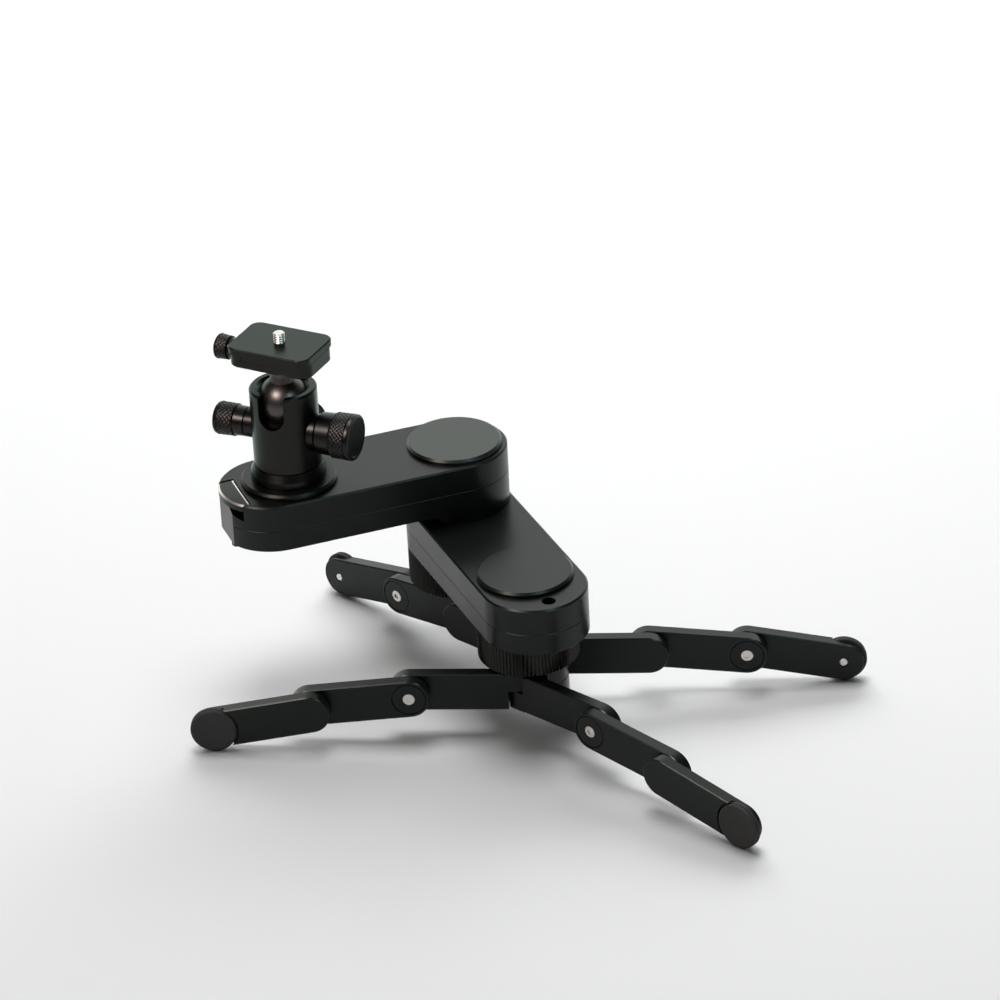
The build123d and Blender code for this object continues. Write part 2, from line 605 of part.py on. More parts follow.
# ---------------------------------------------------------------- quick-release clamp
def jaw_profile(side, foot, lip, outer, z0):
    """Jaw with an overhanging inner face, drawn across the clamp."""
    points = ((side * foot, z0), (side * outer, z0), (side * outer, JAW_TOP), (side * lip, JAW_TOP))
    face = make_face(Polyline(*points, close=True))
    return Pos(0, CLAMP_DEPTH / 2, 0) * extrude(Plane.XZ * face, CLAMP_DEPTH)


def rounded_block(width, depth, z0, z1, radius):
    """Rectangular block with rounded upright corners."""
    outline = Pos(0, 0, z0) * RectangleRounded(width, depth, radius)
    return extrude(outline, z1 - z0)


def clamp_body():
    """Clamp floor with its fixed jaw and the guide for the moving jaw."""
    body = rounded_block(CLAMP_WIDTH, CLAMP_DEPTH, CLAMP_Z, CLAMP_FLOOR, CLAMP_CORNER)
    body = chamfer(body.edges().group_by(Axis.Z)[0], 1.0)
    outline = rounded_block(CLAMP_WIDTH, CLAMP_DEPTH, CLAMP_Z, JAW_TOP, CLAMP_CORNER)
    body += jaw_profile(1, DOVE_LOW, DOVE_HIGH, CLAMP_WIDTH / 2, CLAMP_FLOOR) & outline
    body -= slab(-CLAMP_WIDTH, -DOVE_LOW, -9, 9, CLAMP_Z + 1.5, CLAMP_FLOOR + 1)
    body -= side_rod(CLAMP_SCREW + RUN, -DOVE_LOW - 1, -6.0, CLAMP_SCREW_Z)
    return PLACE_CLAMP * body


def clamp_jaw():
    """Moving jaw, drawn in by the clamp knob."""
    outline = rounded_block(CLAMP_WIDTH, CLAMP_DEPTH, CLAMP_Z, JAW_TOP, CLAMP_CORNER)
    jaw = jaw_profile(-1, DOVE_LOW + 0.1, DOVE_HIGH + 0.1, CLAMP_WIDTH / 2, CLAMP_FLOOR + 0.1) & outline
    jaw += slab(-CLAMP_WIDTH / 2, -DOVE_LOW - 0.3, -8.8, 8.8, CLAMP_Z + 1.7, CLAMP_FLOOR + 0.2)
    jaw -= side_rod(CLAMP_SCREW + RUN, -CLAMP_WIDTH, 0, CLAMP_SCREW_Z)
    return PLACE_CLAMP * jaw


def clamp_knob():
    """Knob of the quick-release clamp, with its draw screw."""
    start = CLAMP_WIDTH / 2 + JAW_TRAVEL + GAP
    body = knob(start, start + 12.0, 5.2, 7.0)
    body += side_rod(CLAMP_SCREW, 7.0, start + 1, 0)
    return PLACE_CLAMP * Pos(0, 0, CLAMP_SCREW_Z) * Rot(0, 0, 180) * body


def camera_plate():
    """Plate under the camera: a dovetail rail with a rounded top."""
    depth = CLAMP_DEPTH + 2 * PLATE_OVERHANG
    top = rounded_block(CLAMP_WIDTH, depth, JAW_TOP + 0.2, PLATE_TOP, CLAMP_CORNER)
    top = chamfer(top.edges().group_by(Axis.Z)[-1], 0.6)
    points = ((-DOVE_LOW + 0.2, CLAMP_FLOOR + 0.1), (DOVE_LOW - 0.2, CLAMP_FLOOR + 0.1),
              (DOVE_HIGH - 0.2, JAW_TOP + 0.3), (-DOVE_HIGH + 0.2, JAW_TOP + 0.3))
    rail = extrude(Plane.XZ * make_face(Polyline(*points, close=True)), CLAMP_DEPTH)
    plate = top + Pos(0, CLAMP_DEPTH / 2, 0) * rail
    plate -= rod(CAMERA_SCREW_NECK + RUN, CLAMP_FLOOR, PLATE_TOP + 1)
    plate -= rod(CAMERA_THREAD + GAP, PLATE_TOP - 1.0, PLATE_TOP + 1)
    plate -= rod(8.2, CLAMP_FLOOR - 1, CLAMP_FLOOR + 3.2)
    return PLACE_CLAMP * plate


def camera_screw():
    """Quarter-inch screw that holds the camera."""
    screw = rod(CAMERA_THREAD, PLATE_TOP, PLATE_TOP + CAMERA_SCREW_REACH)
    screw = chamfer(screw.edges().group_by(Axis.Z)[-1], 0.5)
    screw += rod(CAMERA_SCREW_NECK, CLAMP_FLOOR + 2.6, PLATE_TOP)
    head = rod(8.0, CLAMP_FLOOR + 0.6, CLAMP_FLOOR + 3.0)
    head -= slab(-6.0, 6.0, -0.8, 0.8, CLAMP_FLOOR, CLAMP_FLOOR + 1.8)
    return PLACE_CLAMP * (screw + head)


# ---------------------------------------------------------------- legs
def leg_pins():
    """Distance out and height of the hip and of each knuckle and foot."""
    pins = [(0.0, HIP_Z)]
    for length, drop in zip(LINK_LENGTHS, LINK_DROPS):
        s, z = pins[-1]
        pins.append((s + length * cos(radians(drop)), z - length * sin(radians(drop))))
    return pins


def plate(start, end, drop, thickness, side, index):
    """Flat round-ended link between two pins, in the leg's upright plane."""
    length = sqrt((end[0] - start[0]) ** 2 + (end[1] - start[1]) ** 2)
    bar = slot_slab(0, length, LINK_HEIGHT / 2, -thickness / 2, thickness / 2)
    bar = chamfer(bar.edges().filter_by(Plane.XY), 0.5)
    upright = Pos(start[0], 0, start[1]) * Rot(0, drop, 0) * Rot(90, 0, 0)
    return Pos(0, side * index * LINK_PITCH, 0) * upright * bar


def face_y(side, index, face):
    """Y of a link's face: face +1 is the side that the links step towards."""
    return side * (index * LINK_PITCH + face * LINK_THICKNESS / 2)


def span(radius, s, z, y0, y1):
    return cross_rod(radius, min(y0, y1), max(y0, y1), s, z)


def link_1(side, upper):
    """Inner link: a half-height tongue on the hip pin, a blind bolt hole outside."""
    pins = leg_pins()
    bar = plate(pins[0], pins[1], LINK_DROPS[0], LINK_THICKNESS, side, 0)
    half = LINK_THICKNESS / 2
    bar -= slab(-20, TONGUE_CUT, -10, 10, 0, 60)
    top = LINK_TOP if upper else HIP_Z - 0.15
    low = HIP_Z + 0.15 if upper else LINK_BOTTOM
    tongue = rod(half, low, top) + slab(0, TONGUE_CUT + 0.5, -half, half, low, top)
    outer = (0, half) if side > 0 else (-half, 0)
    tongue += rod(TONGUE_REACH, low, top) & slab(-TONGUE_REACH, 0.1, *outer, low, top)
    bar += tongue
    bar -= rod(PIN_RADIUS + RUN, 0, 60)
    bar -= span(BOLT + RUN, *pins[1], face_y(side, 0, 1) + side, face_y(side, 0, -1) + side * 1.5)
    return bar


def boss(pin, side, index):
    """Thin raised pad that keeps two links apart."""
    y = face_y(side, index, -1)
    return span(9.5, pin[0], pin[1], y, y - side * (LINK_PITCH - LINK_THICKNESS))


def link_2(side):
    """Middle link, which carries both knuckle bolts and their inset caps."""
    pins = leg_pins()
    bar = plate(pins[1], pins[2], LINK_DROPS[1], LINK_THICKNESS, side, 1)
    bar += boss(pins[1], side, 1)
    outer = face_y(side, 1, 1)
    bar += span(9.5, *pins[2], outer, outer + side * (LINK_PITCH - LINK_THICKNESS))
    inner = face_y(side, 1, -1)
    bar -= span(BOLT, *pins[1], outer + side, inner - side * 2)
    bar -= span(BOLT, *pins[2], outer + side * 2, inner - side)
    bar -= span(CAP_RADIUS + CAP_GROOVE, *pins[1], outer + side, outer - side * CAP_DEPTH)
    bar -= span(CAP_RADIUS + CAP_GROOVE, *pins[2], inner - side, inner + side * CAP_DEPTH)
    return bar


def link_3(side):
    """Outer link, cut to half its thickness round the foot."""
    pins = leg_pins()
    bar = plate(pins[2], pins[3], LINK_DROPS[2], LINK_THICKNESS, side, 2)
    middle = face_y(side, 2, 0)
    outer = face_y(side, 2, 1)
    inner = face_y(side, 2, -1)
    bar -= span(FOOT_RADIUS + FOOT_GAP, *pins[3], middle, outer + side)
    bar -= span(BOLT + RUN, *pins[2], inner - side, outer - side * 1.5)
    bar -= span(FOOT_SCREW[0], *pins[3], inner - side, middle + side)
    bar -= span(FOOT_SCREW[1] + 0.1, *pins[3], inner - side, inner + side * 1.2)
    return bar


def knuckle_caps(side):
    """Inset friction discs under the two bolt heads."""
    pins = leg_pins()
    outer = face_y(side, 1, 1)
    inner = face_y(side, 1, -1)
    first = span(CAP_RADIUS, *pins[1], outer - side * 0.1, outer - side * CAP_DEPTH)
    first -= span(BOLT_HEAD + 0.2, *pins[1], outer, outer - side * CAP_DEPTH * 2)
    second = span(CAP_RADIUS, *pins[2], inner + side * 0.1, inner + side * CAP_DEPTH)
    second -= span(BOLT_HEAD + 0.2, *pins[2], inner, inner + side * CAP_DEPTH * 2)
    return [first, second]


def knuckle_bolts(side):
    """The bolts of the two knuckles, each with a flat round head."""
    pins = leg_pins()
    outer = face_y(side, 1, 1)
    inner = face_y(side, 1, -1)
    reach = LINK_PITCH - 1.7
    first = span(BOLT, *pins[1], outer - side * CAP_DEPTH, inner - side * reach)
    first += span(BOLT_HEAD, *pins[1], outer - side * 0.2, outer - side * CAP_DEPTH)
    second = span(BOLT, *pins[2], inner + side * CAP_DEPTH, outer + side * reach)
    second += span(BOLT_HEAD, *pins[2], inner + side * 0.2, inner + side * CAP_DEPTH)
    return [hex_recess(first, pins[1], outer - side * 0.2, -side),
            hex_recess(second, pins[2], inner + side * 0.2, side)]


def hex_recess(bolt, pin, face, inward):
    """Cut the hexagon socket into a bolt's head."""
    radius, depth = HEX_SOCKET
    socket = extrude(RegularPolygon(radius, 6), depth + 1)
    upright = Pos(pin[0], face - inward, pin[1]) * Rot(90 if inward < 0 else -90, 0, 0)
    return bolt - upright * socket


def foot(side):
    """Round rubber foot and the screw that holds it."""
    pins = leg_pins()
    middle = face_y(side, 2, 0)
    inner = face_y(side, 2, -1)
    face = face_y(side, 2, 1) + side * 0.8
    pad = span(FOOT_RADIUS, *pins[3], middle + side * 0.1, face)
    pad = chamfer(pad.edges().filter_by(GeomType.CIRCLE), 0.5)
    shank, head = FOOT_SCREW
    pad -= span(shank, *pins[3], middle - side, middle + side * 2.6)
    screw = span(shank, *pins[3], inner + side, middle + side * 2.5)
    screw += span(head, *pins[3], inner + side * 0.15, inner + side * 1.2)
    return [pad, screw]


def leg_placement(hub_side, end, opening):
    """Where a leg stands, and on which side its links step out."""
    azimuth = HUB_AZIMUTH + (0 if end > 0 else 180)
    azimuth += opening * end * hub_side
    # The links step to the leg's outer side: away from the hub
    side = end * hub_side
    angle = radians(HUB_AZIMUTH + 90)
    hip = Pos(hub_side * HINGE_OFFSET * cos(angle), hub_side * HINGE_OFFSET * sin(angle), 0)
    return hip * Rot(0, 0, azimuth), side


def leg(name, hub_side, end, opening):
    """All six nodes of one leg."""
    place, side = leg_placement(hub_side, end, opening)
    upper = side > 0
    groups = {
        "link_1": [link_1(side, upper)],
        "link_2": [link_2(side)],
        "link_3": [link_3(side)],
        "knuckle_caps": knuckle_caps(side),
        "knuckle_bolts": knuckle_bolts(side),
        "foot": foot(side),
    }
    return {f"{name}_{key}": Compound(children=[place * s for s in solids])
            for key, solids in groups.items()}


# ---------------------------------------------------------------- assembly
SINGLES = (hub_block, hub_hinge_pins, hub_spindle, lock_ring, lower_arm_bottom, lower_arm_top,
           hub_cap, lower_arm_bearings, lower_belt, elbow_shaft, drag_knob, upper_arm_bottom,
           upper_arm_top, elbow_cap, elbow_spindle, upper_arm_bearings, upper_belt,
           lock_lever, lever_pin, lock_pin, lock_spring, platform_spindle, platform_disc, head_base,
           head_housing, ball_cup, lock_knob, friction_knob, pan_knob, ball_stem, clamp_body,
           clamp_jaw, clamp_knob, camera_plate, camera_screw)


def build():
    """Every node by name, in the hub's frame."""
    nodes = {make.__name__: make() for make in SINGLES}
    for name, (hub_side, end, opening) in LEGS.items():
        nodes.update(leg(name, hub_side, end, opening))
    return nodes


NODES = build()
BOXES = [node.bounding_box() for node in NODES.values()]
ORIGIN_X = (min(b.min.X for b in BOXES) + max(b.max.X for b in BOXES)) / 2
ORIGIN_Y = (min(b.min.Y for b in BOXES) + max(b.max.Y for b in BOXES)) / 2

os.makedirs("parts", exist_ok=True)
for node_name, node_shape in NODES.items():
    export_step(Pos(-ORIGIN_X, -ORIGIN_Y, 0) * node_shape, f"parts/{node_name}.step")
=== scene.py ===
"""Looks for the folding-arm camera slider: materials, knobs, camera screw, feet, floor, light and camera.

Metres, in the CAD model's own frame. The CAD nodes keep their shapes; a few small ones are replaced by
pieces with finer detail.
"""

import json
import math

import bmesh
import bpy
from mathutils import Matrix, Vector


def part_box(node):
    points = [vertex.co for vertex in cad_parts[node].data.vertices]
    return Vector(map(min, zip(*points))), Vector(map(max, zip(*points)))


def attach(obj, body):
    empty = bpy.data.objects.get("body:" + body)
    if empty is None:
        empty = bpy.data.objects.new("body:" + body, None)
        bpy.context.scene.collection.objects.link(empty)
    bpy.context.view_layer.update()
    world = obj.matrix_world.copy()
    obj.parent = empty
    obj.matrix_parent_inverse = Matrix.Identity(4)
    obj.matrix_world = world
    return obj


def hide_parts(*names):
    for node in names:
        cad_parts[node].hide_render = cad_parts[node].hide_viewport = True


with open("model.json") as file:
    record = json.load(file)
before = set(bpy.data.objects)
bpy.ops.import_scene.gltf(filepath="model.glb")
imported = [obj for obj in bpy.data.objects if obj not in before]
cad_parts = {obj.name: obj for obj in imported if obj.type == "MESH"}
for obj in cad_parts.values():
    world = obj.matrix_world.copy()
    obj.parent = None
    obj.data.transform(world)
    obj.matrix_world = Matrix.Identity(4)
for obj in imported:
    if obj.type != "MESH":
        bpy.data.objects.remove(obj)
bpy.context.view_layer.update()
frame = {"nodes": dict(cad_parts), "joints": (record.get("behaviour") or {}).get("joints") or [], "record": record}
RECORD = frame["record"]
NODES = frame["nodes"]
JOINTS = {joint["name"]: joint for joint in frame["joints"]}
LEGS = ("front_left", "front_right", "rear_left", "rear_right")
MM = 0.001

# ---------------------------------------------------------------- camera
CAMERA_AIM = Vector((-0.0113, 0.0407, 0.1111))
CAMERA_DISTANCE = 2.851
CAMERA_ELEVATION = math.radians(29.0)
CAMERA_ROLL = math.radians(-2.94)
CAMERA_ANGLE = math.radians(10.81)


def make_camera():
    data = bpy.data.cameras.new("camera")
    data.angle = CAMERA_ANGLE
    data.clip_end = 50
    camera = bpy.data.objects.new("camera", data)
    bpy.context.scene.collection.objects.link(camera)
    forward = Vector((0, math.cos(CAMERA_ELEVATION), -math.sin(CAMERA_ELEVATION)))
    level = Vector((1, 0, 0))
    upright = level.cross(forward)
    right = level * math.cos(CAMERA_ROLL) + upright * math.sin(CAMERA_ROLL)
    up = upright * math.cos(CAMERA_ROLL) - level * math.sin(CAMERA_ROLL)
    turn = Matrix((right, up, -forward)).transposed().to_4x4()
    camera.matrix_world = Matrix.Translation(CAMERA_AIM - forward * CAMERA_DISTANCE) @ turn
    bpy.context.scene.camera = camera


# ---------------------------------------------------------------- node helpers
def new_material(name):
    material = bpy.data.materials.new(name)
    material.use_nodes = True
    tree = material.node_tree
    return material, tree, tree.nodes["Principled BSDF"]


def add_node(tree, kind, **inputs):
    node = tree.nodes.new(kind)
    for key, value in inputs.items():
        node.inputs[key.replace("_", " ")].default_value = value
    return node


def add_operation(tree, kind, operation, *values):
    """Maths node whose inputs are each a socket to link or a constant."""
    node = tree.nodes.new(kind)
    node.operation = operation
    for slot, value in zip(node.inputs, values):
        if isinstance(value, bpy.types.NodeSocket):
            tree.links.new(value, slot)
        else:
            slot.default_value = value
    return node.outputs["Value"]


def noise(tree, scale, detail=2.0, stretch=(1, 1, 1)):
    """Noise in object space, with scale in features per metre."""
    coordinates = add_node(tree, "ShaderNodeTexCoord")
    mapping = add_node(tree, "ShaderNodeMapping", Scale=stretch)
    texture = add_node(tree, "ShaderNodeTexNoise", Scale=scale, Detail=detail)
    tree.links.new(coordinates.outputs["Object"], mapping.inputs["Vector"])
    tree.links.new(mapping.outputs["Vector"], texture.inputs["Vector"])
    return texture


def to_range(tree, source, low, high):
    """Maps a noise value onto low to high, without hard limits."""
    remap = add_node(tree, "ShaderNodeMapRange", From_Min=0.25, From_Max=0.75, To_Min=low, To_Max=high)
    remap.interpolation_type = "SMOOTHSTEP"
    tree.links.new(source, remap.inputs["Value"])
    return remap.outputs["Result"]


def bump(tree, shader, height, strength, distance):
    node = add_node(tree, "ShaderNodeBump", Strength=strength, Distance=distance)
    tree.links.new(height, node.inputs["Height"])
    tree.links.new(node.outputs["Normal"], shader.inputs["Normal"])


def mix_colours(tree, factor, first, second):
    mix = tree.nodes.new("ShaderNodeMix")
    mix.data_type = "RGBA"
    mix.inputs["A"].default_value = (*first, 1)
    mix.inputs["B"].default_value = (*second, 1)
    tree.links.new(factor, mix.inputs["Factor"])
    return mix.outputs["Result"]


# ---------------------------------------------------------------- materials
DYE_SHEEN = (0.9, 1.0, 0.95, 1)                 # black dye gives a slightly green sheen
ANODISED_BLACK = (0.0066, 0.0078, 0.0070)
# pale metal of the lever's bare bevels; the same colour paints a highlight strip along its straight edge
ALLOY_AND_HIGHLIGHT_COLOUR = (0.85, 0.8, 0.76, 1)
LEVER_INWARD = Vector((0.946, 0.324, 0.0))      # from the upper arm's tip towards its elbow
HIGHLIGHT_STRIP_WIDTH = 0.0013                             # width of the painted highlight strip on the lever
BEVEL_RISE = math.sqrt(0.5)                     # Z of the normal of a 45 degree bevel


def anodised(name, colour, roughness, grain, ior=1.32, metallic=0.0):
    """Bead-blasted black anodised aluminium: fine grain and slight clouding."""
    material, tree, shader = new_material(name)
    shader.inputs["IOR"].default_value = ior
    shader.inputs["Specular Tint"].default_value = DYE_SHEEN
    shader.inputs["Metallic"].default_value = metallic
    clouds = noise(tree, 45, 3)
    fine = noise(tree, 4500, 2)
    pale = tuple(c * 1.25 for c in colour)
    tint = mix_colours(tree, clouds.outputs["Fac"], colour, pale)
    tree.links.new(tint, shader.inputs["Base Color"])
    rough = to_range(tree, clouds.outputs["Fac"], roughness - 0.02, roughness + 0.02)
    tree.links.new(rough, shader.inputs["Roughness"])
    bump(tree, shader, fine.outputs["Fac"], grain, 0.00006)
    return material


def machined_steel(name, colour, roughness):
    """Turned or ground steel with fine directional scratches."""
    material, tree, shader = new_material(name)
    shader.inputs["Metallic"].default_value = 1.0
    clouds = noise(tree, 400, 3)
    scratches = noise(tree, 2500, 2, (1, 1, 12))
    tint = mix_colours(tree, clouds.outputs["Fac"], tuple(c * 0.8 for c in colour), colour)
    tree.links.new(tint, shader.inputs["Base Color"])
    rough = to_range(tree, scratches.outputs["Fac"], roughness - 0.06, roughness + 0.06)
    tree.links.new(rough, shader.inputs["Roughness"])
    bump(tree, shader, scratches.outputs["Fac"], 0.15, 0.00002)
    return material


def moulded_rubber(name, colour, roughness=0.75):
    """Matt black rubber with a mould grain and a dusting of dirt."""
    material, tree, shader = new_material(name)
    dust = noise(tree, 120, 5)
    grain = noise(tree, 3500, 3)
    tint = mix_colours(tree, to_range(tree, dust.outputs["Fac"], 0, 1), colour, tuple(c * 2 for c in colour))
    tree.links.new(tint, shader.inputs["Base Color"])
    rough = to_range(tree, dust.outputs["Fac"], roughness - 0.08, roughness + 0.08)
    tree.links.new(rough, shader.inputs["Roughness"])
    bump(tree, shader, grain.outputs["Fac"], 0.35, 0.0001)
    return material


def satin_plastic(name, colour, roughness=0.5):
    material, tree, shader = new_material(name)
    shader.inputs["IOR"].default_value = 1.46
    clouds = noise(tree, 90, 3)
    grain = noise(tree, 6000, 2)
    tint = mix_colours(tree, clouds.outputs["Fac"], colour, tuple(c * 1.4 for c in colour))
    tree.links.new(tint, shader.inputs["Base Color"])
    rough = to_range(tree, clouds.outputs["Fac"], roughness - 0.05, roughness + 0.05)
    tree.links.new(rough, shader.inputs["Roughness"])
    bump(tree, shader, grain.outputs["Fac"], 0.2, 0.00005)
    return material


MATERIALS = {
    "anodised": anodised("anodised_black", ANODISED_BLACK, 0.3, 0.12),
    "cap": anodised("cap_anodised_black", ANODISED_BLACK, 0.3, 0.12, 1.5),
    "head_metal": anodised("head_black", (0.022, 0.0215, 0.0205), 0.3, 0.1, 1.4, 1.0),
    "grip": anodised("grip_black", (0.024, 0.023, 0.022), 0.3, 0.1, 1.4, 1.0),
    "ball": anodised("ball_polished", (0.075, 0.069, 0.066), 0.34, 0.05, 1.4, 1.0),
    "shaft_alloy": machined_steel("turned_alloy", (0.6, 0.6, 0.6), 0.3),
    "bearing_steel": machined_steel("ground_steel", (0.5, 0.5, 0.49), 0.35),
    "bolt_steel": machined_steel("bolt_steel", (0.75, 0.72, 0.68), 0.38),
    "rubber": moulded_rubber("foot_rubber", (0.012, 0.012, 0.012)),
    "belt": moulded_rubber("belt_rubber", (0.014, 0.014, 0.014), 0.65),
    "plastic": satin_plastic("black_plastic", (0.012, 0.012, 0.012)),
}


def lever_with_bevels_and_highlight():
    """Anodised flap with its bevels cut to bare metal, and a pale metallic strip painted along its straight edge
    as a highlight.
    """
    material = MATERIALS["anodised"].copy()
    material.name = "lever_bare_bevels_painted_highlight"
    tree = material.node_tree
    shader = tree.nodes["Principled BSDF"]
    coordinates = add_node(tree, "ShaderNodeTexCoord")
    place = coordinates.outputs["Object"]
    inward = add_operation(tree, "ShaderNodeVectorMath", "DOT_PRODUCT", place, LEVER_INWARD)
    edge = max(LEVER_INWARD.dot(vertex.co) for vertex in NODES["lock_lever"].data.vertices)
    # painted highlight: a pale metal strip on the flat top, just inside the straight edge
    highlight_strip = add_node(tree, "ShaderNodeMapRange", From_Min=edge - HIGHLIGHT_STRIP_WIDTH, From_Max=edge - 0.9 * HIGHLIGHT_STRIP_WIDTH)
    tree.links.new(inward, highlight_strip.inputs["Value"])
    facing = add_node(tree, "ShaderNodeSeparateXYZ")
    tree.links.new(coordinates.outputs["Normal"], facing.inputs["Vector"])
    bevel = add_operation(tree, "ShaderNodeMath", "COMPARE", facing.outputs["Z"], BEVEL_RISE, 0.08)
    # mask for the pale metal: real bare alloy on the bevels, a painted highlight on the strip
    bare_bevel_and_highlight = add_operation(tree, "ShaderNodeMath", "MAXIMUM", highlight_strip.outputs["Result"], bevel)
    dye = shader.inputs["Base Color"].links[0].from_socket
    mix = tree.nodes.new("ShaderNodeMix")
    mix.data_type = "RGBA"
    mix.inputs["B"].default_value = ALLOY_AND_HIGHLIGHT_COLOUR
    tree.links.new(bare_bevel_and_highlight, mix.inputs["Factor"])
    tree.links.new(dye, mix.inputs["A"])
    tree.links.new(mix.outputs["Result"], shader.inputs["Base Color"])
    tree.links.new(bare_bevel_and_highlight, shader.inputs["Metallic"])
    return material


def paint(obj, material):
    obj.data.materials.clear()
    obj.data.materials.append(material)


def paint_nodes():
    for part in RECORD["subparts"]:
        paint(NODES[part["node"]], MATERIALS[part["material_slot"]])
    paint(NODES["ball_stem"], MATERIALS["ball"])
    paint(NODES["lock_lever"], lever_with_bevels_and_highlight())
    paint(NODES["elbow_cap"], MATERIALS["cap"])


# ---------------------------------------------------------------- turned pieces
KNURL_PITCH = 2.4                        # these are in mm
KNURL_DEPTH = 0.42
KNURL_STEP = 0.3
CAMERA_THREAD_PITCH = 1.27
CAMERA_THREAD_DEPTH = 0.55
CAMERA_SCREW_ABOVE = 6.2                 # length of the threaded end
FOOT_RADIUS = 12.7
FOOT_THICKNESS = 4.2
LEG_SIDE = {"front_left": 1, "front_right": -1, "rear_left": -1, "rear_right": 1}   # foot's side of the leg


def axis_frame(joint_name, back):
    """Matrix whose local X runs along a joint's axis, from a point that far behind the joint."""
    joint = JOINTS[joint_name]
    axis = Vector(joint["axis"]).normalized()
    turn = axis.to_track_quat("X", "Z").to_matrix().to_4x4()
    return Matrix.Translation(Vector(joint["pos_m"]) - axis * back * MM) @ turn


def rows_of(profile, band):
    """The profile's points in order, with close rows between the two that bound the band."""
    rows = []
    for (x0, r0), (x1, r1) in zip(profile, profile[1:]):
        count = 1
        if band and x0 >= band[0] - 1e-6 and x1 <= band[1] + 1e-6:
            count = max(1, round((x1 - x0) / band[2]))
        rows += [(x0 + (x1 - x0) * i / count, r0 + (r1 - r0) * i / count) for i in range(count)]
    return rows + [profile[-1]]


def turning(name, profile, segments, band=None, relief=None):
    """Solid turned about X from (x, radius) points in mm, with a relief cut into its band."""
    mesh = bmesh.new()
    loops = []
    for x, radius in rows_of(profile, band):
        inside = band and band[0] < x < band[1]
        loop = []
        for i in range(segments):
            angle = 2 * math.pi * i / segments
            r = radius - (relief(angle, x) if inside else 0.0)
            loop.append(mesh.verts.new((x * MM, r * MM * math.cos(angle), r * MM * math.sin(angle))))
        loops.append(loop)
    for first, second in zip(loops, loops[1:]):
        for i in range(segments):
            j = (i + 1) % segments
            mesh.faces.new((first[i], first[j], second[j], second[i]))
    mesh.faces.new(loops[0][::-1])
    mesh.faces.new(loops[-1])
    bmesh.ops.recalc_face_normals(mesh, faces=mesh.faces)
    data = bpy.data.meshes.new(name)
    mesh.to_mesh(data)
    mesh.free()
    data.shade_smooth()
    data.set_sharp_from_angle(angle=math.radians(30))
    piece = bpy.data.objects.new(name, data)
    bpy.context.scene.collection.objects.link(piece)
    return piece


def groove(t):
    """1 at each whole number, falling to 0 halfway between."""
    return 1 - 2 * abs(t - round(t))


def knurl(count, pitch, depth):
    """Relief of two crossing sets of V grooves."""
    def relief(angle, x):
        u = angle * count / (2 * math.pi)
        v = x / pitch
        return depth * max(groove(u + v), groove(u - v))
    return relief


def thread(pitch, depth):
    def relief(angle, x):
        return depth * groove(x / pitch - angle / (2 * math.pi))
    return relief


def fit_out(piece, place, material, slot, body, *nodes):
    """Places a piece, paints it, and lets it ride in the place of its CAD nodes."""
    piece.matrix_world = place
    paint(piece, MATERIALS[material])
    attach(piece, body)
    if nodes:
        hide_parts(*nodes)


def knurled_knob(name, profile, band, grooves, joint, back):
    """A knob whose band, from and to in mm, is diamond knurled."""
    relief = knurl(grooves, KNURL_PITCH, KNURL_DEPTH)
    piece = turning(name + "_knurled", profile, grooves * 8, (*band, KNURL_STEP), relief)
    fit_out(piece, axis_frame(joint, back), "grip", "grip", name, name)


def make_knobs():
    """Distances run out from the ball head's axis, or from the clamp's middle."""
    lock = [(13.2, 3.0), (20.4, 3.0), (20.4, 9.6), (21.1, 11.0), (21.5, 11.35), (29.2, 11.7), (29.7, 12.1),
            (30.0, 12.55), (38.6, 12.75), (38.75, 12.45), (38.95, 12.45), (39.1, 12.7), (40.6, 12.7),
            (41.25, 12.35), (41.5, 11.7), (41.5, 10.6), (41.35, 10.4)]
    knurled_knob("lock_knob", lock, (30.0, 38.6), 36, "lock_knob_turn", 30)
    friction = [(13.2, 3.0), (22.0, 3.0), (22.0, 7.4), (22.5, 8.1), (28.0, 8.35), (28.3, 8.7), (28.6, 9.0),
                (37.8, 9.2), (38.0, 9.0), (39.3, 8.7), (39.85, 8.1), (40.0, 7.3), (39.9, 7.1)]
    knurled_knob("friction_knob", friction, (28.6, 37.8), 26, "friction_knob_turn", 30)
    pan = [(9.5, 3.0), (19.0, 3.0), (19.0, 6.0), (19.5, 6.5), (26.0, 6.8), (26.6, 7.9), (34.0, 8.2),
           (34.8, 7.9), (35.3, 7.3), (35.5, 6.5), (35.4, 6.3)]
    knurled_knob("pan_knob", pan, (26.6, 34.0), 24, "pan_knob_turn", 25)
    clamp = [(7.0, 1.25), (26.0, 1.25), (26.0, 4.8), (26.4, 5.2), (30.0, 5.4), (30.6, 6.6), (36.8, 7.0),
             (37.5, 6.7), (37.9, 6.1), (38.0, 5.4), (37.9, 5.2)]
    knurled_knob("clamp_knob", clamp, (30.6, 36.8), 20, "clamp_knob_turn", 30)


def make_camera_screw():
    """Quarter-inch screw with its real thread, seen from its head upwards."""
    low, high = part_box("camera_screw")
    length = (high.z - low.z) / MM
    reach = length - CAMERA_SCREW_ABOVE
    profile = [(0, 7.6), (0.4, 8.0), (2.4, 8.0), (2.4, 2.4), (reach - 0.4, 2.4), (reach - 0.4, 3.17),
               (length - 0.5, 3.17), (length, 2.6)]
    band = (reach - 0.4, length - 0.5, CAMERA_THREAD_PITCH / 8)
    relief = thread(CAMERA_THREAD_PITCH, CAMERA_THREAD_DEPTH)
    piece = turning("camera_screw_thread", profile, 48, band, relief)
    centre = (low + high) / 2
    place = Matrix.Translation((centre.x, centre.y, low.z)) @ Matrix.Rotation(-math.pi / 2, 4, "Y")
    fit_out(piece, place, "bolt_steel", "bolt_steel", "camera_screw", "camera_screw")


